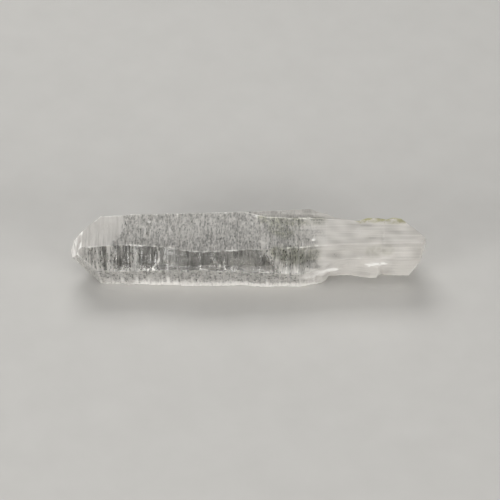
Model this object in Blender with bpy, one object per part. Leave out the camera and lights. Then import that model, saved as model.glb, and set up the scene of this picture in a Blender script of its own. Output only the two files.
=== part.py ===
"""A quartz point lying on one of its prism faces: the tip is at -X, the narrower broken neck at +X.

The crystal is a six-sided prism that tapers in growth ledges. Its long edges are drawn first, as lines
along X. Cross-sections between them are skinned, and flat cuts then make the facets of both ends.
"""

import bmesh
import bpy
import numpy as np
from mathutils import Vector

MM = 0.001

# Driving dimensions, in millimetres
LENGTH_OF_BLANK = 92.0
HEIGHT = 15.0
AXIS_Z = 7.5
NECK_LIFT = 2.4
WORN_EDGE_DROP = 0.25

# Cross-sections, in millimetres
STATION_PITCH = 2.0
CLOSEST_STATIONS = 0.35

# Growth ledges, in millimetres: they lie close together at the tip, spread along the body and fade out
# where the neck starts
FIRST_LEDGE_X = -40.0
LAST_LEDGE_X = 41.0
LEDGE_SPACING = 2.3
LEDGE_SPREAD = 0.02
LEDGE_UNEVENNESS = 0.7
LEDGE_RISER = 0.12
LEDGE_DEPTH = 0.14
LEDGE_FADE = (12.0, 20.0)

# Low swells of the faces, in millimetres
SWELL_DEPTH = 0.07
SWELL_LENGTH = 13.0
CROSS_SWELL_LENGTH = 20.0

# The long edges as (x, y, z) in millimetres from the tip to the neck, where y = 0 is the prism's axis
TOP_FRONT_EDGE = (
    (-46.0, -6.2, HEIGHT),
    (-40.0, -5.9, HEIGHT),
    (-36.5, -5.6, HEIGHT),
    (-33.0, -5.1, HEIGHT),
    (-29.2, -5.05, HEIGHT),
    (-26.5, -5.5, HEIGHT),
    (-21.3, -5.6, HEIGHT),
    (-18.0, -6.6, HEIGHT),
    (-14.4, -7.4, HEIGHT),
    (-11.5, -7.65, HEIGHT),
    (-6.0, -7.25, HEIGHT),
    (0.0, -6.8, HEIGHT),
    (5.0, -6.6, HEIGHT),
    (12.5, -6.0, HEIGHT),
    (17.4, -5.45, HEIGHT),
    (24.8, -4.85, HEIGHT),
    (37.0, -4.75, HEIGHT),
    (46.0, -4.2, HEIGHT),
)
TOP_BACK_EDGE = (
    (-46.0, 4.9, HEIGHT),
    (-34.0, 5.4, HEIGHT),
    (-29.0, 5.9, HEIGHT),
    (-14.4, 6.4, HEIGHT),
    (-2.2, 6.95, HEIGHT),
    (0.0, 6.5, HEIGHT),
    (4.3, 4.7, HEIGHT),
    (12.5, 4.45, HEIGHT),
    (18.6, 4.3, HEIGHT),
    (22.3, 3.9, HEIGHT),
    (27.6, 3.4, HEIGHT),
    (29.8, 4.4, HEIGHT),
    (32.1, 4.4, HEIGHT),
    (34.6, 4.0, HEIGHT),
    (36.3, 4.6, HEIGHT),
    (38.0, 4.3, HEIGHT),
    (46.0, 3.8, HEIGHT),
)
BEVEL_BACK_EDGE = (
    (-46.0, 5.2, HEIGHT - WORN_EDGE_DROP),
    (-34.0, 5.7, HEIGHT - WORN_EDGE_DROP),
    (-29.0, 6.2, HEIGHT - WORN_EDGE_DROP),
    (-14.4, 6.7, HEIGHT - WORN_EDGE_DROP),
    (-2.2, 7.25, HEIGHT - WORN_EDGE_DROP),
    (4.3, 8.5, 13.8),
    (8.0, 9.0, 13.65),
    (14.2, 9.35, 13.65),
    (15.6, 9.4, 13.65),
    (17.4, 8.35, 13.65),
    (19.8, 6.9, 14.2),
    (21.8, 5.1, 14.7),
    (27.6, 3.85, HEIGHT - WORN_EDGE_DROP),
    (28.6, 4.4, HEIGHT - WORN_EDGE_DROP),
    (29.8, 4.95, HEIGHT - WORN_EDGE_DROP),
    (32.1, 4.95, HEIGHT - WORN_EDGE_DROP),
    (34.6, 4.4, HEIGHT - WORN_EDGE_DROP),
    (36.3, 5.1, HEIGHT - WORN_EDGE_DROP),
    (38.0, 4.8, HEIGHT - WORN_EDGE_DROP),
    (46.0, 4.2, HEIGHT - WORN_EDGE_DROP),
)
BACK_EDGE = (
    (-46.0, 9.3, 8.0),
    (-20.0, 9.9, 8.1),
    (4.0, 10.9, 8.3),
    (14.0, 11.0, 8.4),
    (18.0, 9.2, 8.6),
    (22.0, 7.5, 9.0),
    (30.0, 7.4, 9.0),
    (46.0, 7.0, 8.8),
)
BASE_BACK_EDGE = (
    (-46.0, 5.1, 0.0),
    (-20.0, 5.3, 0.0),
    (12.0, 5.8, 0.0),
    (16.5, 5.0, 0.0),
    (18.6, 4.7, 1.3),
    (21.0, 4.3, NECK_LIFT),
    (46.0, 4.0, NECK_LIFT),
)
BASE_FRONT_EDGE = (
    (-46.0, -3.7, 0.0),
    (-34.0, -3.85, 0.0),
    (-24.2, -4.2, 0.0),
    (-14.4, -4.6, 0.0),
    (-8.0, -4.7, 0.0),
    (-2.2, -4.35, 0.0),
    (1.5, -4.85, 0.0),
    (12.5, -4.85, 0.0),
    (14.9, -4.35, 0.0),
    (17.4, -3.75, 0.0),
    (19.0, -4.1, 0.9),
    (20.2, -3.4, NECK_LIFT),
    (24.8, -3.05, NECK_LIFT),
    (30.4, -4.1, NECK_LIFT),
    (32.2, -4.1, NECK_LIFT),
    (33.2, -2.85, NECK_LIFT),
    (37.0, -3.2, NECK_LIFT),
    (46.0, -3.3, NECK_LIFT),
)
LOW_FRONT_EDGE = (
    (-46.0, -8.9, 9.4),
    (-36.5, -8.9, 9.35),
    (-29.2, -8.55, 9.0),
    (-24.2, -8.8, 9.35),
    (-19.3, -9.3, 10.0),
    (-14.4, -9.9, 10.7),
    (-11.5, -10.1, 10.85),
    (-7.1, -9.95, 10.4),
    (-2.2, -9.9, 9.9),
    (2.7, -9.8, 9.5),
    (7.6, -9.8, 9.2),
    (12.5, -9.6, 8.8),
    (14.9, -9.2, 9.15),
    (17.4, -8.35, 9.95),
    (19.8, -7.55, 10.8),
    (22.3, -6.9, 11.6),
    (24.8, -6.65, 11.8),
    (37.0, -6.6, 11.75),
    (46.0, -6.3, 11.4),
)

# The long edges in order round the section
EDGES = {
    "top_front": TOP_FRONT_EDGE,
    "top_back": TOP_BACK_EDGE,
    "bevel_back": BEVEL_BACK_EDGE,
    "back": BACK_EDGE,
    "base_back": BASE_BACK_EDGE,
    "base_front": BASE_FRONT_EDGE,
    "low_front": LOW_FRONT_EDGE,
}

# Each edge's face towards the next edge: how many points split it, and how strong its ledges are
FACES = {
    "top_front": (3, 0.8),
    "top_back": (0, 0.0),
    "bevel_back": (2, 1.0),
    "back": (2, 1.0),
    "base_back": (0, 0.0),
    "base_front": (2, 1.0),
    "low_front": (2, 0.7),
}

# Nicks: which edge, x of the middle, half its length and its depth, in millimetres
NICKS = (
    ("top_front", -30.6, 0.5, 0.18),
    ("top_front", -28.7, 0.7, 0.3),
    ("top_front", -27.0, 0.4, 0.2),
    ("top_front", -9.2, 0.6, 0.16),
    ("top_front", 33.5, 0.5, 0.14),
    ("top_back", -24.6, 0.5, 0.15),
    ("top_back", -18.3, 0.4, 0.12),
    ("back", -31.0, 0.8, 0.3),
    ("back", -12.5, 0.6, 0.25),
    ("back", 7.8, 0.9, 0.35),
    ("back", 26.4, 0.7, 0.3),
    ("low_front", -26.0, 0.5, 0.35),
    ("low_front", -24.9, 0.4, 0.3),
    ("low_front", -23.7, 0.5, 0.35),
    ("low_front", -3.9, 0.5, 0.2),
    ("low_front", 9.6, 0.6, 0.2),
)

# The facets of the tip: turn about the axis from +Y in degrees, slope to the axis, and the x it aims at
TIP_FACETS = (
    (30.0, 47.0, -45.15),
    (90.0, 42.0, -50.1),
    (210.0, 36.0, -46.9),
    (270.0, 47.7, -44.2),
    (330.0, 43.5, -44.7),
)

# Other flat cuts: a point on the plane in millimetres and the direction that it faces
TIP_WEAR = ((-43.6, -3.6, 11.9), (-1.0, -0.2, 0.15))
NECK_CUTS = (
    ((38.5, 4.2, HEIGHT), (0.72, 0.6, 0.35)),
    ((43.9, -2.9, HEIGHT), (1.0, -0.4, 0.1)),
    ((40.4, -3.2, NECK_LIFT), (0.94, -0.1, -0.33)),
    ((40.6, 6.0, 6.0), (0.82, 0.5, -0.28)),
)

# Finish
CRYSTAL_COLOUR = (0.93, 0.93, 0.92, 1.0)
CRYSTAL_ROUGHNESS = 0.12
QUARTZ_IOR = 1.544
SMOOTH_UNDER_DEGREES = 12.0


def clear_scene():
    for obj in list(bpy.data.objects):
        bpy.data.objects.remove(obj, do_unlink=True)


def quartz_material():
    """Clear, faintly grey quartz."""
    material = bpy.data.materials.new("clear_quartz")
    material.use_nodes = True
    shader = material.node_tree.nodes["Principled BSDF"]
    shader.inputs["Base Color"].default_value = CRYSTAL_COLOUR
    shader.inputs["Metallic"].default_value = 0.0
    shader.inputs["Roughness"].default_value = CRYSTAL_ROUGHNESS
    shader.inputs["IOR"].default_value = QUARTZ_IOR
    shader.inputs["Transmission Weight"].default_value = 1.0
    return material


def ledge_places():
    """The x of each growth ledge."""
    places = []
    x = FIRST_LEDGE_X
    while x < LAST_LEDGE_X:
        unevenness = LEDGE_UNEVENNESS * np.sin(2.4 * len(places))
        places.append(x)
        x += LEDGE_SPACING + LEDGE_SPREAD * (x - FIRST_LEDGE_X) + unevenness
    return places


LEDGES = ledge_places()


def stations():
    """The x of every cross-section: ledge rims and nicks, then bends of the long edges and an even row."""
    half = LENGTH_OF_BLANK / 2
    kept = [-half, half]
    for x in LEDGES:
        kept += [x, x + LEDGE_RISER]
    for _, x, half_length, _ in NICKS:
        kept += [x - half_length, x, x + half_length]
    bends = [point[0] for edge in EDGES.values() for point in edge]
    for x in bends + list(np.arange(-half, half, STATION_PITCH)):
        if min(abs(x - other) for other in kept) > CLOSEST_STATIONS:
            kept.append(x)
    kept = sorted(kept)
    apart = [True] + [b - a > LEDGE_RISER / 2 for a, b in zip(kept, kept[1:])]
    return [x for x, wanted in zip(kept, apart) if wanted]


def corner(edge, x):
    """Where a long edge passes the section at x, as (y, z)."""
    places, depths, heights = np.transpose(edge)
    return np.array([np.interp(x, places, depths), np.interp(x, places, heights)])


def inwards(start, end):
    """The unit direction from a side of the section to its inside."""
    along = end - start
    return np.array([along[1], -along[0]]) / np.linalg.norm(along)


def ledge_inset(number, strength, x):
    """How far growth ledges set face number back at x. Each ledge has its own height on each face."""
    passed = sum(x > place + LEDGE_RISER / 2 for place in LEDGES)
    height = 0.5 + 0.5 * np.sin(1.9 * passed + 2.1 * number)
    left = np.interp(LEDGES[max(passed - 1, 0)], LEDGE_FADE, (1.0, 0.0))
    return LEDGE_DEPTH * strength * height * left


def set_back(corners, insets):
    """Moves each side of the section inwards by its own inset and returns the new corners."""
    lines = []
    for number, start in enumerate(corners):
        end = corners[(number + 1) % len(corners)]
        lines.append((start + inwards(start, end) * insets[number], end - start))
    moved = []
    for number in range(len(corners)):
        before, along_before = lines[number - 1]
        after, along_after = lines[number]
        solved = np.linalg.solve(np.column_stack([along_before, -along_after]), after - before)
        moved.append(before + along_before * solved[0])
    return moved


def nick_corners(corners, x):
    """Pulls a corner towards the axis where its edge is nicked."""
    axis = np.array([0.0, AXIS_Z])
    numbers = {name: number for number, name in enumerate(EDGES)}
    for name, middle, half_length, depth in NICKS:
        share = max(0.0, 1.0 - abs(x - middle) / half_length)
        towards = axis - corners[numbers[name]]
        corners[numbers[name]] += towards / np.linalg.norm(towards) * depth * share
    return corners


def swell(number, x, share):
    """How far face number sinks at x, part of the way between its two edges."""
    wave = np.sin(2 * np.pi * x / SWELL_LENGTH + 1.7 * number)
    cross_wave = np.cos(2 * np.pi * x / CROSS_SWELL_LENGTH + 5.0 * share)
    return SWELL_DEPTH * wave * cross_wave * np.sin(np.pi * share)


def section(x):
    """The ring of (x, y, z) points of the cross-section at x."""
    corners = [corner(edge, x) for edge in EDGES.values()]
    insets = [ledge_inset(number, FACES[name][1], x) for number, name in enumerate(EDGES)]
    corners = nick_corners(set_back(corners, insets), x)
    ring = []
    for number, name in enumerate(EDGES):
        start = corners[number]
        end = corners[(number + 1) % len(corners)]
        parts = FACES[name][0] + 1
        for step in range(parts):
            share = step / parts
            sunk = inwards(start, end) * swell(number, x, share)
            ring.append((x, *(start + (end - start) * share + sunk)))
    return ring


def skin(mesh, rings):
    """Joins neighbouring rings with quads and closes both ends."""
    loops = [[mesh.verts.new(Vector(point) * MM) for point in ring] for ring in rings]
    for near, far in zip(loops, loops[1:]):
        count = len(near)
        for index in range(count):
            following = (index + 1) % count
            mesh.faces.new((near[index], near[following], far[following], far[index]))
    mesh.faces.new(loops[0][::-1])
    mesh.faces.new(loops[-1])


def cut_flat(mesh, point, direction):
    """Removes what lies beyond a plane and closes the cut with one flat face."""
    geometry = mesh.verts[:] + mesh.edges[:] + mesh.faces[:]
    bmesh.ops.bisect_plane(
        mesh,
        geom=geometry,
        dist=1e-7,
        plane_co=Vector(point) * MM,
        plane_no=Vector(direction).normalized(),
        clear_outer=True,
    )
    rim = [edge for edge in mesh.edges if edge.is_boundary]
    bmesh.ops.contextual_create(mesh, geom=rim)


def tip_facet_plane(turn, slope, aim_x):
    """The point and direction of a facet that slopes up from the axis at aim_x."""
    around = np.radians(turn)
    rise = np.tan(np.radians(slope))
    return (aim_x, 0.0, AXIS_Z), (-rise, np.cos(around), np.sin(around))


def build_crystal():
    mesh = bmesh.new()
    skin(mesh, [section(x) for x in stations()])
    bmesh.ops.recalc_face_normals(mesh, faces=mesh.faces)
    cuts = [tip_facet_plane(*facet) for facet in TIP_FACETS]
    for point, direction in [*cuts, TIP_WEAR, *NECK_CUTS]:
        cut_flat(mesh, point, direction)
    bmesh.ops.recalc_face_normals(mesh, faces=mesh.faces)
    place_on_origin(mesh)
    data = bpy.data.meshes.new("quartz_point")
    mesh.to_mesh(data)
    mesh.free()
    data.shade_smooth()
    data.set_sharp_from_angle(angle=np.radians(SMOOTH_UNDER_DEGREES))
    data.materials.append(quartz_material())
    crystal = bpy.data.objects.new("quartz_point", data)
    bpy.context.scene.collection.objects.link(crystal)
    return crystal


def place_on_origin(mesh):
    """Moves the crystal so that the origin is at the middle of its length and depth, on its base."""
    points = np.array([vert.co[:] for vert in mesh.verts])
    low = points.min(axis=0)
    high = points.max(axis=0)
    shift = Vector((-(low[0] + high[0]) / 2, -(low[1] + high[1]) / 2, -low[2]))
    bmesh.ops.translate(mesh, verts=mesh.verts, vec=shift)


clear_scene()
build_crystal()
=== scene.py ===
import bmesh
import bpy
import numpy as np
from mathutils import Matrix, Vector, kdtree, noise
from mathutils.bvhtree import BVHTree


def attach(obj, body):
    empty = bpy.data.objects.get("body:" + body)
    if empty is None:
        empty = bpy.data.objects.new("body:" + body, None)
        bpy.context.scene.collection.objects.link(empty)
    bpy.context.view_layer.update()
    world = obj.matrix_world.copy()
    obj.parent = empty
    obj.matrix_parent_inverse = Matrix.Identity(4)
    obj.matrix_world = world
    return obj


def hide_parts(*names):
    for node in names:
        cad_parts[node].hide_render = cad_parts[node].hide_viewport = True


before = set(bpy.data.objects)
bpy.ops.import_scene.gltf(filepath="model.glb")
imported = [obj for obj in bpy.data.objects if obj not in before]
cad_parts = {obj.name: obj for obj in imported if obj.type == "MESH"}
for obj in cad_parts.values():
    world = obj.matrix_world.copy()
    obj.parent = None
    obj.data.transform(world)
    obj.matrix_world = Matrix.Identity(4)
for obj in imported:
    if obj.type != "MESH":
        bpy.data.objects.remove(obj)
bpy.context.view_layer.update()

MM = 0.001

# Camera, in millimetres and degrees
CAMERA_TARGET = (0.476, 0.332, 7.5)
CAMERA_DISTANCE = 700.0
CAMERA_ELEVATION = 44.0
CAMERA_LENS = 199.6
SENSOR_WIDTH = 36.0

# Stage, in millimetres, and its light
FLOOR_GAP = 0.05
FLOOR_REACH = 1500.0
FLOOR_DARK = (0.55, 0.545, 0.53, 1.0)
FLOOR_LIGHT = (0.60, 0.595, 0.58, 1.0)
ROOM_COLOUR = (1.0, 0.985, 0.96, 1.0)
HORIZON_LIGHT = 0.22
OVERHEAD_LIGHT = 0.12

# Softboxes: name, place, size, watts and colour
SOFTBOXES = (
    ("key_softbox", (-120.0, 330.0, 520.0), (420.0, 260.0), 1.7, (1.0, 0.99, 0.97)),
    ("overhead_softbox", (0.0, -60.0, 700.0), (600.0, 600.0), 1.0, (1.0, 0.99, 0.97)),
    ("left_softbox", (-480.0, -400.0, 170.0), (300.0, 220.0), 2.4, (1.0, 0.985, 0.96)),
    ("right_softbox", (460.0, -420.0, 170.0), (300.0, 220.0), 2.1, (1.0, 0.985, 0.96)),
)

# Reading the CAD crystal: how near points are welded, how bent and how skewed a joined pair of triangles
# may be in degrees, and how many points on the same x make a cross-section
WELD_GAP = 0.001
JOIN_ANGLE = 2.0
JOIN_SKEW = 40.0
SECTION_POINTS = 5

# The fine skin, in millimetres: slabs across the crystal, rows along it, and bands beside its ridges. A
# point nearer to a cut than the level gap is used as it is.
SLAB_PITCH = 0.2
NECK_SLAB_PITCH = 0.4
NECK_START = 22.0
ROW_PITCH = 0.32
HIDDEN_ROW_PITCH = 0.8
LEVEL_GAP = 0.012
RIDGE_BANDS = (0.11, 0.3)

# Spacing of the points that distances to ridges and marks are measured from
RIDGE_SAMPLE = 0.07
MARK_SAMPLE = 0.1

# Relief of the skin, in millimetres
STRIATION_DEPTH = 0.02
WAVE_DEPTH = 0.07
RIDGE_WEAR = 0.05
CHIP_DEPTH = 0.16

# Fades along the skin: first and last x
TOP_LADDER_START = (-33.0, -29.0)
# the painted light along the low face's bottom edge
PAINTED_FOOT_LIGHT_START = (-31.0, -26.0)
THREADS_END = (-28.2, -26.8)
MID_LADDER_END = (-25.0, -21.0)
BEVEL_MILK_START = (0.0, 3.0)
MIST_START = (3.5, 8.0)
NECK_MILK_START = (9.0, 21.0)
BODY_END = (12.0, 20.0)

# Fades across the skin: first and last height, or depth at the last one
# the painted light of the low face's foot, and of the rays that rise from it
PAINTED_FOOT_LIGHT_TOP = (0.6, 3.6)
PAINTED_RAYS_TOP = (3.0, 6.5)
FOOT_TOP = (9.5, 10.9)
# where the painted rim highlight along the top ridge at the back starts
BACK_RIM_LIGHT_HEIGHT = (11.0, 13.0)
BACK_RIM_LIGHT_DEPTH = (2.5, 3.5)

# Kinds of face: the sides, then the first of the flat cuts at the tip, at the neck's end and at the apex
TOP, BEVEL, BACK, UNDER, BASE, LOW, MID = range(7)
TIP = 10
NECK_END = 30
APEX = 50

# Passes that cut the sides into rows: the axis, the pitch and the kinds of face that are cut
ROW_PASSES = (
    (1, ROW_PITCH, (TOP, BEVEL)),
    (1, HIDDEN_ROW_PITCH, (BASE,)),
    (2, ROW_PITCH, (BACK, LOW, MID)),
    (2, HIDDEN_ROW_PITCH, (UNDER,)),
)

# Flat cuts at the ends: least steepness, least likeness of two normals and greatest gap between two parts
# of one cut, and least area in square millimetres
CUT_STEEPNESS = 0.45
CUT_LIKENESS = 0.9995
CUT_GAP = 0.03
CUT_AREA = 4.0

# Where each kind of face looks, as the least angle from +Y in degrees
FACE_TURNS = (
    (-120.0, BASE),
    (-60.0, UNDER),
    (0.0, BACK),
    (50.0, BEVEL),
    (81.5, TOP),
    (118.0, MID),
    (180.0, LOW),
)

# How hazy the quartz is at each kind of face, from 0, clear, to 1, white, and how light its tone is. The
# tones are partly painted light and shade: each side is made lighter or darker for how it is lit, and the
# clear middle face and the under and base faces seen through it are painted dark in place of a dark surround
KIND_HAZE = {TOP: 0.5, BEVEL: 0.38, BACK: 0.16, UNDER: 0.2, BASE: 0.3, LOW: 0.45, MID: 0.1}
KIND_TONE_AND_SHADE = {TOP: 0.54, BEVEL: 0.7, BACK: 0.8, UNDER: 0.4, BASE: 0.4, LOW: 0.7, MID: 0.44}
END_HAZE = 0.5
END_TONE = 0.75
APEX_HAZE = 0.8
APEX_TONE = 0.9
NECK_HAZE = 0.66
NECK_TONE = 0.7
FOOT_HAZE = 0.32
FOOT_TONE = 0.6
MIST_HAZE = 0.26

# The smooth tip of the top face, painted hazy and pale as a painted reflection of a light: where it ends, its
# haze and its tone
SMOOTH_TIP_END = -31.3
SMOOTH_TIP_SHEEN_HAZE = 0.66
SMOOTH_TIP_SHEEN_TONE = 0.68

# Bands across the middle face near the tip: where they end, and the x, haze and tone of each. The low tones
# of the clear bands are painted shade
BANDS_END = -22.4
BANDS = (
    (-42.0, 0.42, 0.7),
    (-40.3, 0.36, 0.35),
    (-38.6, 0.36, 0.4),
    (-37.8, 0.42, 0.7),
    (-36.7, 0.32, 0.35),
    (-35.9, 0.06, 0.15),
    (-35.3, 0.06, 0.15),
    (-34.8, 0.33, 0.65),
    (-33.4, 0.31, 0.6),
    (-32.7, 0.12, 0.3),
    (-31.0, 0.08, 0.1),
    (-29.6, 0.1, 0.2),
    (-29.0, 0.31, 0.55),
    (-27.4, 0.31, 0.55),
    (-26.6, 0.08, 0.2),
    (-22.8, 0.04, 0.1),
    (-22.2, 0.10, 0.5),
)

# Marks on the skin: their line of (x, y, z) points, radius, added haze and added tone
MARKS = (
    # the curved crack at the end of the dark bands
    (((-22.6, -6.2, 14.6), (-22.2, -7.0, 13.3), (-22.1, -7.8, 12.1)), 0.28, 0.5, 0.5),
    (((-22.1, -7.8, 12.1), (-22.6, -8.2, 11.4), (-23.3, -8.4, 10.5), (-23.9, -8.8, 9.9)), 0.34, 0.6, 0.5),
    # a white wisp that bends down over the ridge
    (((2.4, 4.6, 14.9), (3.0, 0.4, 14.9), (3.6, -3.2, 14.9), (4.2, -5.8, 14.9)), 1.5, 0.1, 0.2),
    (((5.2, -7.1, 14.4), (5.5, -7.8, 13.5), (6.9, -8.7, 11.9), (8.4, -9.4, 10.5)), 1.3, 0.2, 0.3),
    # small specks on the middle face
    (((-8.8, -8.7, 13.6), (-8.2, -9.2, 12.4), (-7.1, -9.7, 11.5)), 0.7, 0.2, 0.3),
    (((-11.7, -10.2, 11.0), (-10.2, -10.3, 10.9)), 0.35, 0.25, 0.3),
    # pale grains on the shoulder, and the bright cores of the painted glows of light there and in the neck
    (((14.8, -9.0, 6.6), (18.5, -7.3, 5.0)), 1.8, 0.2, 0.3),
    (((16.8, -8.2, 8.0), (19.8, -7.0, 6.8), (22.0, -5.5, 5.8)), 0.9, 0.24, 0.2),
    (((31.0, -6.1, 9.2), (33.2, -5.9, 9.0)), 1.3, 0.16, 0.2),
)

# Painted glows, in the same terms: soft patches of light painted into the colour, a streak on the middle
# face, one in the neck and one on its shoulder
PAINTED_GLOWS = (
    (((-4.2, -8.8, 12.3), (-1.4, -8.7, 12.6), (0.8, -8.8, 12.3)), 1.2, 0.1, 0.6),
    (((30.4, -6.1, 9.0), (33.6, -5.8, 8.8)), 2.8, 0.05, 0.45),
    (((15.0, -8.7, 8.9), (18.5, -7.6, 7.4), (22.4, -5.3, 5.6)), 2.0, 0.08, 0.4),
)

# Dark cloudy patches: their line of (x, y, z) points, radius and darkness
CLOUDS = (
    (((4.0, 4.2, 14.9), (8.1, 2.8, 14.9), (13.2, 3.0, 14.9), (18.2, 3.3, 14.9)), 2.4, 0.42),
    (((6.9, 0.4, 14.9), (9.6, -1.6, 14.9)), 2.6, 0.42),
    (((7.1, -7.4, 14.1), (9.3, -7.2, 13.9), (12.6, -7.3, 13.5), (16.6, -7.1, 13.2)), 2.4, 0.5),
    (((9.6, -8.0, 12.3), (13.1, -8.0, 12.3)), 2.0, 0.45),
    (((30.6, -6.2, 13.4), (35.0, -6.0, 13.4)), 1.9, 0.4),
)

# Painted glints: white spots painted where light catches a pit or a chipped edge: x, y, z and radius
PAINTED_GLINTS = (
    (-25.7, -8.6, 9.3, 0.3),
    (-25.0, -8.7, 9.4, 0.42),
    (-24.1, -8.8, 9.4, 0.3),
    (-23.5, -8.8, 9.5, 0.34),
    (-22.4, -8.9, 9.6, 0.3),
    (-30.4, -5.4, 14.9, 0.26),
    (-29.3, -5.4, 14.9, 0.3),
    (-28.3, -5.4, 14.9, 0.34),
    (-26.9, -5.7, 14.9, 0.26),
    (-24.9, 2.8, 14.9, 0.4),
    (-28.4, 1.6, 14.9, 0.2),
    (-19.4, -0.4, 15.0, 0.26),
    (-17.2, 1.2, 15.0, 0.2),
    (-9.6, 3.4, 15.0, 0.2),
    (1.1, 2.1, 15.0, 0.24),
    (16.3, -3.7, 14.9, 0.42),
    (12.4, 3.6, 15.0, 0.24),
    (27.4, 0.1, 14.9, 0.3),
    (28.1, -1.0, 14.9, 0.3),
    (27.0, -0.4, 14.9, 0.25),
)

# The iron stain along the neck's back edge: its line of points and radius
STAIN_LINE = ((29.0, 3.9, 14.9), (31.5, 4.1, 14.9), (34.6, 3.9, 14.9), (38.6, 3.9, 14.9))
STAIN_RADIUS = 2.5

# Finishes from clear to white: name, haze from which it is used, transmission, dark and light colour,
# least and greatest roughness
QUARTZ_IOR = 1.544
FINISHES = (
    # the clear finish's dark colour lets the painted shade make its faces dark grey
    ("clear_quartz", -9.0, 1.0, (0.13, 0.13, 0.125, 1.0), (0.94, 0.93, 0.90, 1.0), 0.03, 0.14),
    ("frosted_quartz", 0.25, 0.86, (0.24, 0.236, 0.225, 1.0), (1.0, 0.985, 0.95, 1.0), 0.32, 0.45),
    ("hazy_quartz", 0.56, 0.62, (0.5, 0.485, 0.46, 1.0), (1.0, 0.975, 0.94, 1.0), 0.36, 0.5),
    ("white_quartz", 0.84, 0.1, (0.75, 0.74, 0.72, 1.0), (1.0, 0.985, 0.96, 1.0), 0.45, 0.6),
)
GREEN_SHADE = (0.80, 0.82, 0.68, 1.0)
STAIN_COLOUR = (0.50, 0.49, 0.25, 1.0)

# Sheets inside the crystal: colours, thickness, least depth under the skin, height of the crystal's axis,
# share of a sheet that its rim fades over, and rows and columns of points
VEIL_COLOUR = (0.96, 0.95, 0.92, 1.0)
CLOUD_COLOUR = (0.30, 0.32, 0.25, 1.0)
VEIL_THICKNESS = 0.05
VEIL_DEPTH = 0.15
AXIS_HEIGHT = 7.0
RIM_SHARE = 0.3
CROSS_VEIL_ROWS = 16
CROSS_VEIL_COLUMNS = 73
LONG_VEIL_ROWS = 24
LONG_VEIL_COLUMNS = 60

# Healed cracks across the crystal: x on the axis, lean of x along Y and Z, share of the section reached,
# first and last angle from +Y in degrees, and density
CROSS_VEILS = (
    (4.6, -0.12, -0.30, 0.93, 0.0, 360.0, 0.55),
    (7.4, 0.25, -0.42, 0.80, 60.0, 300.0, 0.4),
    (-22.5, 0.1, 0.12, 0.9, 100.0, 190.0, 0.5),
    (12.5, 0.5, 0.35, 0.85, 20.0, 200.0, 0.4),
    (19.0, -0.6, 0.5, 0.85, 0.0, 360.0, 0.5),
    (25.0, 0.8, -0.6, 0.85, 0.0, 360.0, 0.5),
    (32.0, -0.7, 0.4, 0.85, 0.0, 360.0, 0.5),
)

# Cloudy sheets along the crystal: three corners (the fourth follows), ripple, density and whether dark
LONG_VEILS = (
    ((5.5, 3.5, 12.8), (18.0, 3.0, 12.6), (6.5, -2.5, 11.2), 0.5, 0.6, True),
    ((7.0, -5.8, 11.6), (19.5, -5.0, 11.8), (8.0, -1.0, 6.5), 0.6, 0.6, True),
    ((9.0, 5.5, 9.5), (38.0, 3.5, 9.5), (10.0, -5.0, 9.0), 0.8, 0.45, False),
    ((-8.0, 3.0, 5.5), (12.0, 4.0, 6.0), (-7.0, -3.0, 4.0), 0.6, 0.25, False),
)

# Noise patterns on the skin: how fine each is along X, Y and Z, and its seed, which moves it by the shift
GRAIN_SHIFT = 17.3
GRAINS = {
    "long_streaks": ((2.4, 0.42, 0.42), 1),
    "short_streaks": ((3.9, 0.9, 0.9), 12),
    "specks": ((3.6, 2.4, 2.4), 2),
    "clouds": ((0.3, 0.4, 0.4), 3),
    "threads": ((3.3, 0.14, 0.14), 18),
    "band_bends": ((0.8, 0.5, 0.5), 4),
    "broad_lichen": ((1.1, 1.3, 1.3), 16),
    "fine_lichen": ((2.4, 2.6, 2.6), 17),
    "neck_flutes": ((0.08, 1.6, 1.6), 5),
    "neck_flecks": ((0.5, 3.0, 3.0), 19),
    "ragged": ((1.2, 1.2, 1.2), 6),
    "broad_mottle": ((0.9, 0.9, 0.9), 6),
    "fine_mottle": ((2.3, 2.3, 2.3), 14),
    "veins": ((0.8, 0.8, 0.8), 15),
    "stain_patches": ((0.6, 0.9, 0.9), 13),
    "ladder": ((1.75, 0.2, 0.2), 7),
    "fine_ladder": ((3.1, 0.45, 0.45), 8),
    "broad_growth": ((0.3, 0.12, 0.12), 9),
    "broad_chips": ((1.1, 1.1, 1.1), 10),
    "fine_chips": ((2.7, 2.7, 2.7), 11),
    "swell": ((0.27, 0.3, 0.3), 20),
}


def cad_faces():
    """The CAD crystal as points in millimetres and faces, with triangle pairs joined."""
    mesh = bmesh.new()
    mesh.from_mesh(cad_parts["quartz_point"].data)
    bmesh.ops.remove_doubles(mesh, verts=mesh.verts, dist=WELD_GAP * MM)
    bmesh.ops.join_triangles(
        mesh,
        faces=mesh.faces[:],
        angle_face_threshold=np.radians(JOIN_ANGLE),
        angle_shape_threshold=np.radians(JOIN_SKEW),
    )
    mesh.verts.index_update()
    points = np.array([vert.co[:] for vert in mesh.verts]) / MM
    faces = [[vert.index for vert in face.verts] for face in mesh.faces]
    mesh.free()
    return points, faces


def face_vectors(points, faces):
    """Each face's normal, as long as twice its area."""
    vectors = np.zeros((len(faces), 3))
    for number, face in enumerate(faces):
        corners = points[face]
        vectors[number] = np.cross(corners, np.roll(corners, -1, axis=0)).sum(axis=0)
    return vectors


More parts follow.
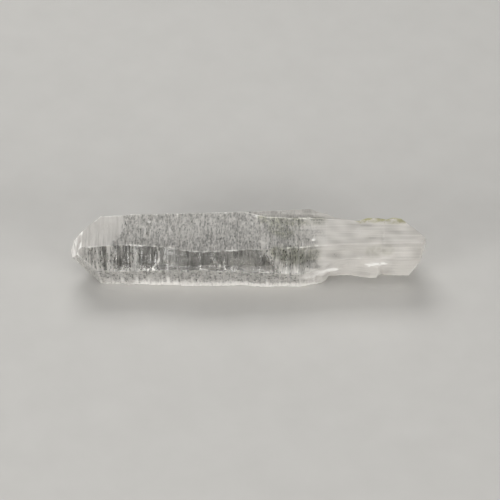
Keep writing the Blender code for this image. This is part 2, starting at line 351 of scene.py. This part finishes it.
def face_kinds(points, faces):
    """Which side of the crystal each face belongs to, with the flat cuts of both ends apart."""
    vectors = face_vectors(points, faces)
    areas = np.linalg.norm(vectors, axis=1)
    normals = vectors / areas[:, None]
    offsets = np.array([normals[n] @ points[face[0]] for n, face in enumerate(faces)])
    turns = np.degrees(np.arctan2(normals[:, 2], normals[:, 1]))
    turns = (turns + 120.0) % 360.0 - 120.0
    kinds = np.zeros(len(faces), int)
    for least, kind in FACE_TURNS:
        kinds[turns >= least] = kind
    steep = np.flatnonzero(abs(normals[:, 0]) > CUT_STEEPNESS)
    left = set(steep.tolist())
    ends = 0
    for number in steep[np.argsort(-areas[steep])]:
        if number not in left:
            continue
        alike = normals @ normals[number] > CUT_LIKENESS
        level = abs(offsets - offsets[number]) < CUT_GAP
        same = [other for other in left if alike[other] and level[other]]
        left -= set(same)
        if areas[same].sum() / 2 > CUT_AREA:
            end_x, end_y, end_z = normals[number]
            first = NECK_END if end_x > 0 else APEX if end_y < 0.3 and end_z > 0.1 else TIP
            kinds[same] = first + ends
            ends += 1
    return kinds


def split_ring(ring):
    """Splits a face, a ring of (point, first slab, last slab), into one piece for each slab.

    A face that goes through the same slab more than twice stays whole.
    """
    count = len(ring)
    names = [index for index, _, _ in ring]
    slabs = []
    for number, (_, first, last) in enumerate(ring):
        _, next_first, next_last = ring[(number + 1) % count]
        low, high = max(first, next_first), min(last, next_last)
        slabs.append(low if low == high else None)
    known = [number for number, slab in enumerate(slabs) if slab is not None]
    if not known:
        return [names]
    current = slabs[known[-1]]
    for number, slab in enumerate(slabs):
        current = current if slab is None else slab
        slabs[number] = current
    least, most = min(slabs), max(slabs)
    changes = sum(slab != slabs[number - 1] for number, slab in enumerate(slabs))
    if changes != 2 * (most - least):
        return [names]
    pieces = {slab: [] for slab in range(least, most + 1)}
    for number, slab in enumerate(slabs):
        for name in (names[number], names[(number + 1) % count]):
            if name not in pieces[slab]:
                pieces[slab].append(name)
    return [piece for piece in pieces.values() if len(piece) > 2]


def cut(points, faces, values, levels, spared):
    """Cuts faces along levels of a value that each point has, all but the spared ones.

    Returns the points, the faces and the number of the face that each came from.
    """
    low = np.searchsorted(levels, values - LEVEL_GAP).tolist()
    high = np.searchsorted(levels, values + LEVEL_GAP).tolist()
    crossings = {}
    added = []

    def crossing(start, end, level):
        key = (min(start, end), max(start, end), level)
        if key not in crossings:
            first, last = key[:2]
            share = (levels[level] - values[first]) / (values[last] - values[first])
            added.append(points[first] + (points[last] - points[first]) * share)
            crossings[key] = len(points) + len(added) - 1
        return crossings[key]

    cut_edges = set()
    for number in np.flatnonzero(~spared) if spared.any() else ():
        face = faces[number]
        cut_edges.update(frozenset(pair) for pair in zip(face, face[1:] + face[:1]))
    pieces = []
    parents = []
    for number, face in enumerate(faces):
        least = min(high[index] for index in face)
        most = max(low[index] for index in face)
        if least >= most:
            pieces.append(face)
            parents.append(number)
            continue
        ring = []
        for start, end in zip(face, face[1:] + face[:1]):
            ring.append((start, low[start], high[start]))
            if spared[number] and frozenset((start, end)) not in cut_edges:
                continue
            for level in range(high[start], low[end]):
                ring.append((crossing(start, end, level), level, level + 1))
            for level in range(low[start] - 1, high[end] - 1, -1):
                ring.append((crossing(start, end, level), level, level + 1))
        parts = [[index for index, _, _ in ring]] if spared[number] else split_ring(ring)
        pieces += parts
        parents += [number] * len(parts)
    if added:
        points = np.vstack([points, added])
    return points, pieces, np.array(parents)


def points_between(start, end, pitch):
    """Points along a line with both its ends, less than a pitch apart."""
    count = int(np.linalg.norm(end - start) / pitch) + 2
    return [start + (end - start) * share for share in np.linspace(0, 1, count)]


def ridge_tree(points, faces, kinds):
    """Points along every edge between two kinds of face, to measure distances from."""
    sides = {}
    for number, face in enumerate(faces):
        for pair in zip(face, face[1:] + face[:1]):
            sides.setdefault(frozenset(pair), []).append(kinds[number])
    samples = []
    for pair, kinds_beside in sides.items():
        if len(set(kinds_beside)) > 1:
            start, end = (points[index] for index in pair)
            samples += points_between(start, end, RIDGE_SAMPLE)
    tree = kdtree.KDTree(len(samples))
    for number, sample in enumerate(samples):
        tree.insert(sample, number)
    tree.balance()
    return tree


def grain(points, name):
    """A noise pattern, from -1 to 1 at each point."""
    scale, seed = GRAINS[name]
    placed = points * np.array(scale) + seed * GRAIN_SHIFT
    return np.array([noise.noise(place) for place in placed.tolist()])


def point_normals(points, faces):
    """Each point's normal, from the faces around it by their size."""
    normals = np.zeros_like(points)
    for vector, face in zip(face_vectors(points, faces), faces):
        normals[face] += vector
    return normals / np.linalg.norm(normals, axis=1)[:, None]


def slab_levels(along):
    """Where the skin is cut across, evenly between the CAD's own cross-sections."""
    places, counts = np.unique(along.round(2), return_counts=True)
    stops = [along.min(), *places[counts >= SECTION_POINTS], along.max()]
    levels = []
    for start, end in zip(stops, stops[1:]):
        pitch = SLAB_PITCH if start < NECK_START else NECK_SLAB_PITCH
        count = max(round((end - start) / pitch), 1)
        levels += np.linspace(start, end, count + 1)[1:-1].tolist()
    return np.array(levels)


def build_skin():
    """The crystal's fine skin: points, faces, the kind of each face and each point's distance to a ridge."""
    points, faces = cad_faces()
    kinds = face_kinds(points, faces)
    tree = ridge_tree(points, faces, kinds)
    low = points.min(axis=0)
    high = points.max(axis=0)
    slabs = slab_levels(points[:, 0])
    for axis, pitch, chosen in ROW_PASSES:
        levels = np.arange(low[axis] + pitch * 0.6, high[axis] - pitch * 0.3, pitch)
        end_chosen = (kinds >= TIP) & (pitch == ROW_PITCH)
        spared = ~(np.isin(kinds, chosen) | end_chosen)
        points, faces, parents = cut(points, faces, points[:, axis], levels, spared)
        kinds = kinds[parents]
    points, faces, parents = cut(points, faces, points[:, 0], slabs, np.zeros(len(faces), bool))
    kinds = kinds[parents]
    to_ridge = np.array([tree.find(point)[2] for point in points])
    points, faces, parents = cut(points, faces, to_ridge, np.array(RIDGE_BANDS), np.zeros(len(faces), bool))
    kinds = kinds[parents]
    to_ridge = np.array([tree.find(point)[2] for point in points])
    return points, faces, kinds, to_ridge


def smooth_step(values, start, end):
    """0 up to the start, 1 from the end, and a soft slope between."""
    share = np.clip((values - start) / (end - start), 0.0, 1.0)
    return share * share * (3.0 - 2.0 * share)


def line_falloff(places, line, radius):
    """1 on a line of points, falling to 0 at the radius."""
    line = np.array(line)
    samples = []
    for start, end in zip(line, line[1:]):
        samples += points_between(start, end, MARK_SAMPLE)
    samples = np.array(samples)
    above = (places >= samples.min(axis=0) - radius).all(axis=1)
    below = (places <= samples.max(axis=0) + radius).all(axis=1)
    near = np.flatnonzero(above & below)
    falloff = np.zeros(len(places))
    gaps = np.linalg.norm(places[near][:, None, :] - samples[None], axis=2).min(axis=1)
    falloff[near] = 1.0 - smooth_step(gaps, radius * 0.3, radius)
    return falloff


class Paint:
    """What is painted on samples of the skin, each on a point and a kind of face.

    Haze chooses the finish, tone lightens its colour and calm quietens its growth lines. Green and stain
    tint it. Tone and haze also carry painted light and shade: glows, glints, a bright foot, a pale tip
    and darkened clear faces.
    """

    def __init__(self, points, owners, kinds):
        self.points = points
        self.owners = owners
        self.kinds = kinds
        self.along, self.depth, self.height = points[owners].T
        self.haze = np.full(len(owners), END_HAZE)
        self.tone = np.full(len(owners), END_TONE)
        # each kind's haze, and its tone with the painted light and shade of each side
        for kind in KIND_HAZE:
            self.haze[kinds == kind] = KIND_HAZE[kind]
            self.tone[kinds == kind] = KIND_TONE_AND_SHADE[kind]
        self.on_mid = kinds == MID
        self.on_low = kinds == LOW
        long_streaks = self.pattern("long_streaks")
        short_streaks = self.pattern("short_streaks")
        streaks = 0.75 * long_streaks + 0.5 * short_streaks
        self.streaks = np.where(kinds == TOP, 0.35 * long_streaks + 0.95 * short_streaks, streaks)
        self.specks = self.pattern("specks")
        self.clouds = self.pattern("clouds")
        self.threads = self.pattern("threads")
        self.paint_bands()
        self.paint_growth()
        self.paint_tip()
        self.paint_low_face()
        self.paint_neck()
        self.paint_marks()
        self.paint_clouds_and_glints()
        self.paint_stain()

    def pattern(self, name):
        return grain(self.points, name)[self.owners]

    def near(self, line, radius):
        return line_falloff(self.points, line, radius)[self.owners]

    def paint_bands(self):
        """The bands of the middle face near the tip, with the clear ones painted dark as painted shade, and
        their paler foot.
        """
        banded = self.on_mid & (self.along < BANDS_END)
        band_x, band_haze, band_tone = np.transpose(BANDS)
        shifted = self.along + 0.7 * self.pattern("band_bends") + 0.3 * self.streaks
        self.haze[banded] = np.interp(shifted[banded], band_x, band_haze)
        self.tone[banded] = np.interp(shifted[banded], band_x, band_tone)
        foot = banded * (1.0 - smooth_step(self.height + 1.2 * self.streaks, *FOOT_TOP))
        threaded = banded * (1.0 - smooth_step(self.along, *THREADS_END))
        self.haze += 0.8 * foot * (FOOT_HAZE - self.haze) + 0.16 * threaded * self.threads
        self.tone += 0.8 * foot * (FOOT_TONE - self.tone) + 0.8 * threaded * self.threads

    def paint_growth(self):
        """Growth streaks and specks, faint where the quartz is clear."""
        misty_from = self.along + 2.0 * self.clouds + 0.8 * (self.height - 12.0)
        misty = self.on_mid * smooth_step(misty_from, *MIST_START)
        self.haze += MIST_HAZE * misty
        lively = np.where(self.on_mid & (self.haze < 0.25), 0.45, 1.0) - 0.3 * misty
        self.haze += lively * (0.3 * self.streaks + 0.19 * self.specks)
        self.tone += lively * (0.7 * self.streaks + 0.6 * self.specks) + 0.3 * self.on_mid * self.clouds

    def paint_tip(self):
        """The smooth tip of the top face, made pale as a painted reflection, and the worn apex."""
        front = np.minimum(self.depth, 0.0)
        smooth_sheen_tip = (self.kinds == TOP) & (self.along < SMOOTH_TIP_END + 0.5 * front + 1.3 * self.streaks)
        # the smooth tip's haze and tone are a painted reflection of a light
        self.haze[smooth_sheen_tip] = SMOOTH_TIP_SHEEN_HAZE + 0.1 * self.streaks[smooth_sheen_tip]
        self.tone[smooth_sheen_tip] = SMOOTH_TIP_SHEEN_TONE + (0.15 - 0.12 * front[smooth_sheen_tip]) * self.threads[smooth_sheen_tip]
        self.calm = 0.8 * smooth_sheen_tip
        apex = self.kinds >= APEX
        self.haze[apex] = APEX_HAZE + 0.3 * self.streaks[apex]
        self.tone[apex] = APEX_TONE

    def paint_low_face(self):
        """The mottled low face, and its frayed foot and the rays above it, which are painted light: bright
        streaks along its bottom edge.
        """
        lichen = self.pattern("broad_lichen") + 0.6 * self.pattern("fine_lichen")
        painted_foot_height = self.height + 1.6 * self.streaks + 1.3 * lichen
        # the foot: a painted band of light along the low face's bottom edge
        past_tip = smooth_step(self.along, *PAINTED_FOOT_LIGHT_START)
        edge = (1.0 - smooth_step(painted_foot_height, *PAINTED_FOOT_LIGHT_TOP)) * (0.35 + 0.65 * past_tip)
        painted_rays = np.clip(self.threads + 0.5 * self.streaks, 0.0, 1.0)
        painted_rays = painted_rays * (1.0 - smooth_step(self.height, *PAINTED_RAYS_TOP))
        # lichen is the low face's own mottling; the foot and the rays add painted light
        self.haze += self.on_low * (0.26 * lichen + edge * (0.6 + 0.6 * self.streaks) + 0.9 * painted_rays)
        self.tone += self.on_low * (0.8 * lichen + 0.35 * edge + painted_rays)

    def paint_neck(self):
        """The milky, fluted neck, and the bevel, which turns milky before it."""
        bevel = self.kinds == BEVEL
        neck = smooth_step(self.along + 4.0 * self.clouds + 1.6 * self.specks, *NECK_MILK_START)
        milky_bevel = 0.8 * smooth_step(self.along, *BEVEL_MILK_START)
        neck = np.where(bevel, np.maximum(neck, milky_bevel), neck)
        flutes = self.pattern("neck_flutes")
        neck_haze = NECK_HAZE + 0.1 * self.on_low + 0.1 * flutes + 0.08 * self.clouds
        # the low face of the neck is painted lighter and its middle face darker: painted light and shade for
        # how each side is lit
        neck_tone = NECK_TONE + 0.2 * self.on_low - 0.15 * self.on_mid + 0.22 * flutes + 0.5 * self.clouds
        self.haze += neck * (neck_haze - self.haze)
        self.haze += 4.0 * neck * (1.0 - neck) * 0.2 * self.specks
        self.tone += neck * (neck_tone - self.tone)
        self.haze[bevel] -= 0.06
        self.tone[bevel] -= 0.02
        self.neck = neck

    def paint_marks(self):
        """The crack, wisps and grains, which are ragged, and the soft painted glows of light."""
        flecks = np.where(self.along > 15.0, 1.5 * self.pattern("neck_flecks"), self.specks)
        ragged = np.clip(0.9 + 1.2 * self.pattern("ragged") + 1.6 * flecks, 0.0, 1.5)
        # the painted glows lighten the colour to stand in for soft light
        for table, strength in ((MARKS, ragged), (PAINTED_GLOWS, 1.0)):
            for line, radius, more_haze, more_tone in table:
                share = self.near(line, radius) * strength
                self.haze += share * more_haze
                self.tone += share * more_tone

    def paint_clouds_and_glints(self):
        """The dark cloudy patches, and the painted glints: white spots that stand in for light caught by pits
        and chipped edges.
        """
        mottle = self.pattern("broad_mottle") + 0.6 * self.pattern("fine_mottle")
        mottle = smooth_step(mottle, -0.5, 0.4)
        veins = 1.0 - smooth_step(abs(self.pattern("veins")), 0.0, 0.1)
        body = 1.0 - self.neck
        self.green = np.zeros(len(self.owners))
        for line, radius, darkness in CLOUDS:
            share = self.near(line, radius)
            self.tone += share * (0.3 * veins * body - darkness * (0.3 + 0.7 * mottle))
            self.haze += 0.12 * share * (veins - mottle) * body
            self.green += share * (0.4 + 0.6 * mottle) * (1.0 - 0.7 * self.neck)
        # painted glints: these spots get the white finish to stand in for caught light
        for *place, radius in PAINTED_GLINTS:
            gaps = np.linalg.norm(self.points[self.owners] - place, axis=1)
            self.haze[gaps < radius] = 1.0

    def paint_stain(self):
        """The iron stain on the neck's back edge."""
        patchy = 0.8 + 1.3 * self.pattern("stain_patches") + 0.9 * self.specks
        self.stain = self.near(STAIN_LINE, STAIN_RADIUS) * patchy


def ridge_share(to_ridge, band):
    """1 on a ridge, falling to 0 where the band beside it ends."""
    return np.clip(1.0 - to_ridge / band, 0.0, 1.0)


def sink(points, on_kind, to_ridge):
    """How deep the striations, waves, chips and worn ridges lie below the flat faces at each point."""
    along = points[:, 0]
    body = 1.0 - smooth_step(along, *BODY_END)
    ladder = grain(points, "ladder") * 0.65 + grain(points, "fine_ladder") * 0.35
    broad = grain(points, "broad_growth")
    share = (
        on_kind[TOP] * (0.15 + 0.85 * smooth_step(along, *TOP_LADDER_START))
        + on_kind[LOW]
        + on_kind[MID] * (0.2 + 0.8 * (1.0 - smooth_step(along, *MID_LADDER_END)))
        + (on_kind[BACK] + on_kind[UNDER]) * 0.8
        + on_kind[BEVEL] * 0.2
    )
    strength = STRIATION_DEPTH * np.minimum(share, 1.0) * (0.15 + 0.85 * body)
    striations = strength * smooth_step(to_ridge, 0.0, 0.8) * (1.0 + ladder + 0.6 * broad)
    swell = 1.0 + grain(points, "swell")
    waves = on_kind[MID] * WAVE_DEPTH * smooth_step(to_ridge, 0.0, 1.5) * swell
    chips = grain(points, "broad_chips") + 0.7 * grain(points, "fine_chips")
    worn = ridge_share(to_ridge, RIDGE_BANDS[0]) * RIDGE_WEAR * (1.0 + 0.8 * chips)
    chipped = ridge_share(to_ridge, RIDGE_BANDS[1]) * CHIP_DEPTH * smooth_step(chips, 0.35, 0.9)
    return np.clip(striations, 0.0, None) + np.clip(worn, 0.0, None) + chipped + waves


def ridge_wear_and_rim_light(points, to_ridge):
    """How worn and pale the skin is along the ridges, with a painted rim highlight that makes the top ridge
    at the back palest.
    """
    along, depth, height = points.T
    broken_and_rim_light = np.clip(0.5 + 1.3 * grain(points, "broad_chips"), 0.0, 1.0)
    broken_and_rim_light *= 1.0 - 0.7 * smooth_step(along, *BODY_END)
    # painted rim highlight: the top ridge at the back is made paler for the light along it
    broken_and_rim_light += 0.5 * smooth_step(depth, *BACK_RIM_LIGHT_DEPTH) * smooth_step(height, *BACK_RIM_LIGHT_HEIGHT)
    return broken_and_rim_light * ridge_share(to_ridge, RIDGE_BANDS[1])


def build_crystal():
    """The whole crystal: its relief, its finishes and the values that colour it."""
    points, faces, kinds, to_ridge = build_skin()
    normals = point_normals(points, faces)
    on_kind = {kind: np.zeros(len(points)) for kind in KIND_HAZE}
    for face, kind in zip(faces, kinds):
        if kind in on_kind:
            on_kind[kind][face] = 1.0
    sunk = points - normals * sink(points, on_kind, to_ridge)[:, None]
    data = bpy.data.meshes.new("crystal")
    data.from_pydata((sunk * MM).tolist(), [], faces)

    sizes = [len(face) for face in faces]
    corners = np.concatenate([np.array(face) for face in faces])
    # wear along the ridges, with the painted rim highlight of the top back ridge
    wear_and_rim_light = ridge_wear_and_rim_light(points, to_ridge)[corners]
    paint = Paint(points, corners, np.repeat(kinds, sizes))
    values = {
        "tone": paint.tone.clip(0.0, 1.0),
        "calm": paint.calm,
        "green": paint.green.clip(0.0, 1.0),
        "stain": paint.stain.clip(0.0, 1.0),
        "wear_and_rim_light": wear_and_rim_light,
    }
    for name, samples in values.items():
        attribute = data.attributes.new(name, "FLOAT", "CORNER")
        attribute.data.foreach_set("value", samples.astype(np.float32))

    centres = np.array([points[face].mean(axis=0) for face in faces])
    face_wear_and_rim_light = np.array([part.mean() for part in np.split(wear_and_rim_light, np.cumsum(sizes)[:-1])])
    haze = Paint(centres, np.arange(len(centres)), kinds).haze + 0.6 * face_wear_and_rim_light
    choice = np.zeros(len(faces), np.int32)
    for number, (_, least, *_) in enumerate(FINISHES):
        choice[haze >= least] = number
    for finish in FINISHES:
        data.materials.append(quartz(*finish))
    data.polygons.foreach_set("material_index", choice)
    data.shade_smooth()
    mark_ridges(data, kinds)
    data.update()
    crystal = bpy.data.objects.new("crystal", data)
    bpy.context.scene.collection.objects.link(crystal)
    return crystal


def skin_distance(tree, start, direction):
    """How far the skin is from a place inside, in millimetres."""
    return tree.ray_cast(Vector(start), Vector(direction))[3]


def cross_veil(tree, middle, lean_y, lean_z, reach, first, last, seed):
    """A grid of points of a wavy sheet across the crystal, kept inside its skin."""
    rows = []
    for share in np.linspace(0.02, reach, CROSS_VEIL_ROWS):
        row = []
        for turn in np.radians(np.linspace(first, last, CROSS_VEIL_COLUMNS)):
            direction = (0.0, np.cos(turn), np.sin(turn))
            away = share * skin_distance(tree, (middle, 0.0, AXIS_HEIGHT), direction)
            depth, height = away * direction[1], away * direction[2]
            wave = 0.8 * noise.noise((seed * 7.1, depth * 0.25, height * 0.25))
            row.append((middle + lean_y * depth + lean_z * height + wave, depth, AXIS_HEIGHT + height))
        rows.append(row)
    return np.array(rows)


def long_veil(near, far, other, ripple, seed):
    """A grid of points of a wavy sheet along the crystal."""
    near, far, other = (np.array(point) for point in (near, far, other))
    rows = []
    for across in np.linspace(0.0, 1.0, LONG_VEIL_ROWS):
        row = []
        for share in np.linspace(0.0, 1.0, LONG_VEIL_COLUMNS):
            place = near + (far - near) * share + (other - near) * across
            row.append(place + (0.0, 0.0, ripple * noise.noise(place * 0.35 + seed * 5.3)))
        rows.append(row)
    return np.array(rows)


def keep_inside(tree, grid):
    """Moves the points that lie at the skin or past it back towards the crystal's axis."""
    for place in grid.reshape(-1, 3):
        centre = np.array((place[0], 0.0, AXIS_HEIGHT))
        away = np.linalg.norm(place - centre)
        room = skin_distance(tree, centre, place - centre) - VEIL_DEPTH
        if away > room:
            place[:] = centre + (place - centre) * (room / away)
    return grid


def sheet_mesh(name, grid, material):
    """A closed thin sheet on a grid of points. Its edge attribute falls to 0 at the rim."""
    rows, columns = grid.shape[:2]
    across = np.gradient(grid, axis=0)
    along = np.gradient(grid, axis=1)
    normals = np.cross(along, across)
    normals /= np.maximum(np.linalg.norm(normals, axis=2), 1e-9)[:, :, None]
    upper = grid + normals * VEIL_THICKNESS / 2
    lower = grid - normals * VEIL_THICKNESS / 2
    points = np.vstack([upper.reshape(-1, 3), lower.reshape(-1, 3)])
    count = rows * columns
    faces = []
    for row in range(rows - 1):
        for column in range(columns - 1):
            first = row * columns + column
            lower_face = (first, first + columns, first + columns + 1, first + 1)
            faces.append((first, first + 1, first + columns + 1, first + columns))
            faces.append(tuple(index + count for index in lower_face))
    rim = [row * columns for row in range(rows)]
    rim += [(rows - 1) * columns + column for column in range(1, columns)]
    rim += [row * columns + columns - 1 for row in range(rows - 2, -1, -1)]
    rim += list(range(columns - 2, 0, -1))
    for start, end in zip(rim, rim[1:] + rim[:1]):
        faces.append((end, start, start + count, end + count))
    data = bpy.data.meshes.new(name)
    data.from_pydata((points * MM).tolist(), [], faces)
    row_edge, column_edge = (
        np.minimum(np.arange(size), np.arange(size)[::-1]) / (size * RIM_SHARE) for size in (rows, columns)
    )
    edge = np.minimum.outer(row_edge, column_edge).clip(0.0, 1.0).reshape(-1)
    attribute = data.attributes.new("edge", "FLOAT", "POINT")
    attribute.data.foreach_set("value", np.concatenate([edge, edge]).astype(np.float32))
    data.materials.append(material)
    data.shade_smooth()
    data.update()
    sheet = bpy.data.objects.new(name, data)
    bpy.context.scene.collection.objects.link(sheet)
    return sheet


def veil_material(name, colour, density, seed):
    """A white or dark mist on a sheet, with see-through gaps."""
    graph = Graph(name)
    mist = graph.noise((0.55, 0.55, 0.55), 20.0 + seed, 6.0, 0.68)
    shade = graph.noise((1.4, 1.4, 1.4), 30.0 + seed, 3.0, 0.6)
    veil = graph.math("MULTIPLY", graph.ramp(mist, 0.44, 0.72), graph.attribute("edge"))
    dim = tuple(channel * 0.75 for channel in colour[:3]) + (1.0,)
    graph.finish({
        "Base Color": graph.blend(graph.ramp(shade, 0.3, 0.7), dim, colour),
        "Roughness": graph.ramp(shade, 0.3, 0.7, 0.5, 0.7),
        "Alpha": graph.math("MULTIPLY", veil, density),
    })
    return graph.material


def build_veils(crystal):
    """The healed cracks and clouds inside the crystal."""
    tree = BVHTree.FromPolygons(
        [vert.co / MM for vert in crystal.data.vertices],
        [tuple(face.vertices) for face in crystal.data.polygons],
    )
    sheets = []
    for number, (middle, lean_y, lean_z, reach, first, last, density) in enumerate(CROSS_VEILS):
        grid = keep_inside(tree, cross_veil(tree, middle, lean_y, lean_z, reach, first, last, number))
        material = veil_material(f"healed_crack_{number}", VEIL_COLOUR, density, number)
        sheets.append(sheet_mesh(f"healed_crack_{number}", grid, material))
    for number, (near, far, other, ripple, density, dark) in enumerate(LONG_VEILS):
        grid = keep_inside(tree, long_veil(near, far, other, ripple, number))
        colour = CLOUD_COLOUR if dark else VEIL_COLOUR
        material = veil_material(f"cloud_{number}", colour, density, number + 10)
        sheets.append(sheet_mesh(f"cloud_{number}", grid, material))
    return sheets


def mark_ridges(data, kinds):
    """Shades the mesh sharp along the edges between two kinds of face."""
    sides = {}
    for polygon in data.polygons:
        for key in polygon.edge_keys:
            sides.setdefault(key, set()).add(int(kinds[polygon.index]))
    sharp = data.attributes.new("sharp_edge", "BOOLEAN", "EDGE")
    sharp.data.foreach_set("value", [len(sides[edge.key]) > 1 for edge in data.edges])


class Graph:
    """A new material's shader nodes. A value is a number, a colour or another node's output."""

    def __init__(self, name):
        self.material = bpy.data.materials.new(name)
        self.material.use_nodes = True
        self.tree = self.material.node_tree
        self.shader = self.tree.nodes["Principled BSDF"]
        position = self.tree.nodes.new("ShaderNodeTexCoord").outputs["Object"]
        self.place = self.stretch(position, (1 / MM, 1 / MM, 1 / MM))

    def feed(self, socket, value):
        if isinstance(value, bpy.types.NodeSocket):
            self.tree.links.new(value, socket)
        else:
            socket.default_value = value

    def add(self, kind, values):
        node = self.tree.nodes.new(kind)
        for name, value in values.items():
            self.feed(node.inputs[name], value)
        return node

    def finish(self, values):
        for name, value in values.items():
            self.feed(self.shader.inputs[name], value)

    def stretch(self, vector, scale, shift=(0.0, 0.0, 0.0)):
        return self.add("ShaderNodeMapping", {"Vector": vector, "Scale": scale, "Location": shift}).outputs[0]

    def noise(self, scale, shift, detail=2.0, roughness=0.5):
        vector = self.stretch(self.place, scale, (shift, shift * 1.7, shift * 0.6))
        values = {"Vector": vector, "Scale": 1.0, "Detail": detail, "Roughness": roughness}
        return self.add("ShaderNodeTexNoise", values).outputs[0]

    def ramp(self, value, start, end, low=0.0, high=1.0):
        values = {"Value": value, "From Min": start, "From Max": end, "To Min": low, "To Max": high}
        return self.add("ShaderNodeMapRange", values).outputs[0]

    def math(self, operation, first, second):
        node = self.add("ShaderNodeMath", {0: first, 1: second})
        node.operation = operation
        return node.outputs[0]

    def blend(self, share, first, second, kind="MIX"):
        node = self.tree.nodes.new("ShaderNodeMix")
        node.data_type = "RGBA"
        node.blend_type = kind
        for number, value in ((0, share), (6, first), (7, second)):
            self.feed(node.inputs[number], value)
        return node.outputs[2]

    def attribute(self, name):
        node = self.tree.nodes.new("ShaderNodeAttribute")
        node.attribute_name = name
        return node.outputs["Fac"]

    def bump(self, height, depth):
        return self.add("ShaderNodeBump", {"Height": height, "Distance": depth * MM}).outputs[0]


def quartz(name, least_haze, transmission, dark, light, least_rough, most_rough):
    """One finish of the crystal. Its tone comes from the skin, with the painted light and shade there, and
    from fine growth lines.
    """
    graph = Graph(name)
    ladder = graph.noise((2.2, 0.25, 0.25), 1.0, 4.0, 0.65)
    fine = graph.noise((5.0, 0.9, 0.9), 2.0, 2.0, 0.6)
    flutes = graph.noise((0.07, 1.6, 1.6), 4.0, 4.0, 0.6)
    along = graph.add("ShaderNodeSeparateXYZ", {"Vector": graph.place}).outputs[0]
    neck = graph.ramp(along, 13.0, 19.0)
    lines = graph.math("ADD", graph.math("MULTIPLY", ladder, 0.6), graph.math("MULTIPLY", fine, 0.4))
    body_lines = graph.math("MULTIPLY", lines, graph.math("SUBTRACT", 1.0, neck))
    lines = graph.math("ADD", body_lines, graph.math("MULTIPLY", flutes, neck))
    swing = graph.ramp(neck, 0.0, 1.0, 0.55, 0.2)
    swing = graph.math("MULTIPLY", swing, graph.math("SUBTRACT", 1.0, graph.attribute("calm")))
    contrast = graph.math("MULTIPLY", graph.ramp(lines, 0.35, 0.65, -1.0, 1.0), swing)
    tone = graph.math("ADD", graph.attribute("tone"), contrast)
    # worn ridges and the painted rim highlight lighten the tone
    tone = graph.math("ADD", tone, graph.math("MULTIPLY", graph.attribute("wear_and_rim_light"), 0.4))
    colour = graph.blend(graph.ramp(tone, 0.0, 1.0), dark, light)
    colour = graph.blend(graph.attribute("green"), colour, GREEN_SHADE, "MULTIPLY")
    colour = graph.blend(graph.attribute("stain"), colour, STAIN_COLOUR, "MULTIPLY")
    graph.finish({
        "Base Color": colour,
        "Roughness": graph.ramp(fine, 0.3, 0.7, least_rough, most_rough),
        "IOR": QUARTZ_IOR,
        "Transmission Weight": transmission,
        "Normal": graph.bump(lines, 0.12),
    })
    return graph.material


def build_floor():
    """A plain pale floor just under the crystal."""
    mesh = bmesh.new()
    bmesh.ops.create_grid(mesh, x_segments=8, y_segments=8, size=FLOOR_REACH * MM)
    data = bpy.data.meshes.new("floor")
    mesh.to_mesh(data)
    mesh.free()
    floor = bpy.data.objects.new("floor", data)
    floor.location.z = -FLOOR_GAP * MM
    bpy.context.scene.collection.objects.link(floor)
    graph = Graph("pale_floor")
    speckle = graph.noise((0.12, 0.12, 0.12), 9.0, 3.0)
    graph.finish({"Base Color": graph.blend(speckle, FLOOR_DARK, FLOOR_LIGHT), "Roughness": 0.75})
    data.materials.append(graph.material)


def build_camera():
    """The camera at the photo's angle."""
    turn = np.radians(CAMERA_ELEVATION)
    direction = np.array([0.0, -np.cos(turn), np.sin(turn)])
    data = bpy.data.cameras.new("camera")
    data.lens = CAMERA_LENS
    data.sensor_width = SENSOR_WIDTH
    data.clip_start = 0.01
    data.clip_end = 10.0
    camera = bpy.data.objects.new("camera", data)
    camera.location = (np.array(CAMERA_TARGET) + direction * CAMERA_DISTANCE) * MM
    camera.rotation_euler = (np.pi / 2 - turn, 0.0, 0.0)
    bpy.context.scene.collection.objects.link(camera)
    bpy.context.scene.camera = camera


def build_softbox(name, place, size, watts, colour):
    """A rectangular light that faces the crystal from a place in millimetres."""
    data = bpy.data.lights.new(name, "AREA")
    data.shape = "RECTANGLE"
    data.size, data.size_y = (side * MM for side in size)
    data.energy = watts
    data.color = colour
    lamp = bpy.data.objects.new(name, data)
    lamp.location = Vector(place) * MM
    lamp.rotation_euler = (-Vector(place)).to_track_quat("-Z", "Y").to_euler()
    bpy.context.scene.collection.objects.link(lamp)


def build_room():
    """A dim grey surround, paler at the horizon than overhead."""
    world = bpy.data.worlds.new("surround")
    world.use_nodes = True
    tree = world.node_tree
    place = tree.nodes.new("ShaderNodeTexCoord")
    split = tree.nodes.new("ShaderNodeSeparateXYZ")
    ramp = tree.nodes.new("ShaderNodeMapRange")
    ramp.inputs["From Min"].default_value = 0.0
    ramp.inputs["From Max"].default_value = 1.0
    ramp.inputs["To Min"].default_value = HORIZON_LIGHT
    ramp.inputs["To Max"].default_value = OVERHEAD_LIGHT
    tree.links.new(place.outputs["Generated"], split.inputs["Vector"])
    tree.links.new(split.outputs["Z"], ramp.inputs["Value"])
    background = tree.nodes["Background"]
    background.inputs["Color"].default_value = ROOM_COLOUR
    tree.links.new(ramp.outputs["Result"], background.inputs["Strength"])
    bpy.context.scene.world = world


def set_light_paths():
    """Lets light pass the crystal's many walls."""
    cycles = bpy.context.scene.cycles
    cycles.max_bounces = 24
    cycles.transmission_bounces = 24
    cycles.transparent_max_bounces = 24
    cycles.glossy_bounces = 12
    cycles.diffuse_bounces = 6
    bpy.context.scene.view_settings.view_transform = "Standard"


crystal = build_crystal()
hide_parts("quartz_point")
for piece in [crystal, *build_veils(crystal)]:
    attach(piece, "root")
build_floor()
build_camera()
for softbox in SOFTBOXES:
    build_softbox(*softbox)
build_room()
set_light_paths()
